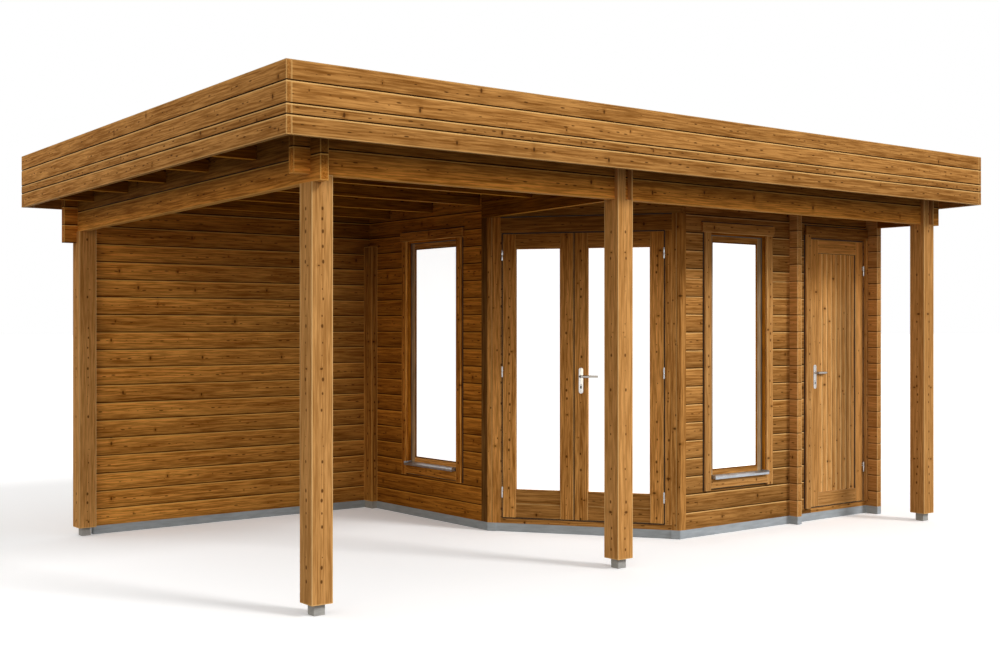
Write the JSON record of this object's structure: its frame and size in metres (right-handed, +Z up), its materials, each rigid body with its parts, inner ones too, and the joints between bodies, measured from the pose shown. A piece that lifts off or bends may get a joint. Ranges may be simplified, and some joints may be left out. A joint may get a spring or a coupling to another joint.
{
  "type": "garden shed with canopy",
  "caption": "Flat-roofed timber garden shed with an open corner canopy on square posts, a diagonal glazed double door, tall windows and a storage bay with a plank door.",
  "frame": {"origin": "on the ground, under the middle of the roof's outline", "axes": "+X to the right along the front, +Y from the front to the back, +Z up"},
  "size_m": [5.56, 3.605, 2.5803],
  "materials": {
    "timber": "satin brown stain",
    "dark_timber": "satin brown stain in shade",
    "grey_base": "matte grey",
    "feet": "matte grey",
    "glazing": "clear",
    "satin_steel": "satin",
    "roof_sheet": "matte",
    "sill_metal": "satin"
  },
  "bodies": {
    "shed": {"post_feet": "feet", "long_bases": "grey_base", "cross_bases": "grey_base", "door_base": "grey_base", "front_left_post": "timber", "front_middle_post": "timber", "front_right_post": "timber", "back_left_post": "timber", "inner_corner_post": "dark_timber", "front_beam": "timber", "left_beam": "dark_timber", "cross_beams": "dark_timber", "back_wall": "timber", "right_wall": "timber", "partition": "timber", "window_wall": "dark_timber", "front_wall": "timber", "storage_lintel": "timber", "door_left_post": "timber", "door_right_post": "timber", "door_lintel": "timber", "door_frame": "timber", "storage_frame": "timber", "rafters": "dark_timber", "roof_boards": "dark_timber", "roofing_sheet": "roof_sheet", "front_fascia": "timber", "back_fascia": "timber", "left_fascia": "timber", "right_fascia": "timber", "window_casings": "timber", "window_sashes": "timber", "window_glass": "glazing", "window_sills": "sill_metal", "fixed_hinges": "satin_steel"},
    "left_door": {"left_leaf": "timber", "left_leaf_glass": "glazing", "left_leaf_hinges": "satin_steel"},
    "right_door": {"right_leaf": "timber", "right_leaf_glass": "glazing", "right_leaf_fittings": "satin_steel"},
    "right_door_lever": {"right_leaf_lever": "satin_steel"},
    "storage_door": {"storage_leaf": "timber", "storage_leaf_fittings": "satin_steel"},
    "storage_door_lever": {"storage_lever": "satin_steel"}
  },
  "joints": [
    {"name": "left_door_hinge", "type": "hinge", "parent": "shed", "child": "left_door", "pos_m": [-0.19763, -0.08454, 1.0425], "axis": [0, 0, -1], "range_deg": [0, 100]},
    {"name": "right_door_hinge", "type": "hinge", "parent": "shed", "child": "right_door", "pos_m": [0.44258, -0.97222, 1.0425], "axis": [0, 0, 1], "range_deg": [0, 100]},
    {"name": "right_lever_spindle", "type": "hinge", "parent": "right_door", "child": "right_door_lever", "pos_m": [0.14316, -0.50578, 1.048], "axis": [0.8111, 0.585, 0], "range_deg": [0, 40], "stiffness_Nm_per_rad": 0.5},
    {"name": "storage_door_hinge", "type": "hinge", "parent": "shed", "child": "storage_door", "pos_m": [2.4295, -1.0615, 1.0425], "axis": [0, 0, 1], "range_deg": [0, 80]},
    {"name": "storage_lever_spindle", "type": "hinge", "parent": "storage_door", "child": "storage_door_lever", "pos_m": [1.877, -1.0315, 1.048], "axis": [0, 1, 0], "range_deg": [0, 40], "stiffness_Nm_per_rad": 0.5}
  ]
}
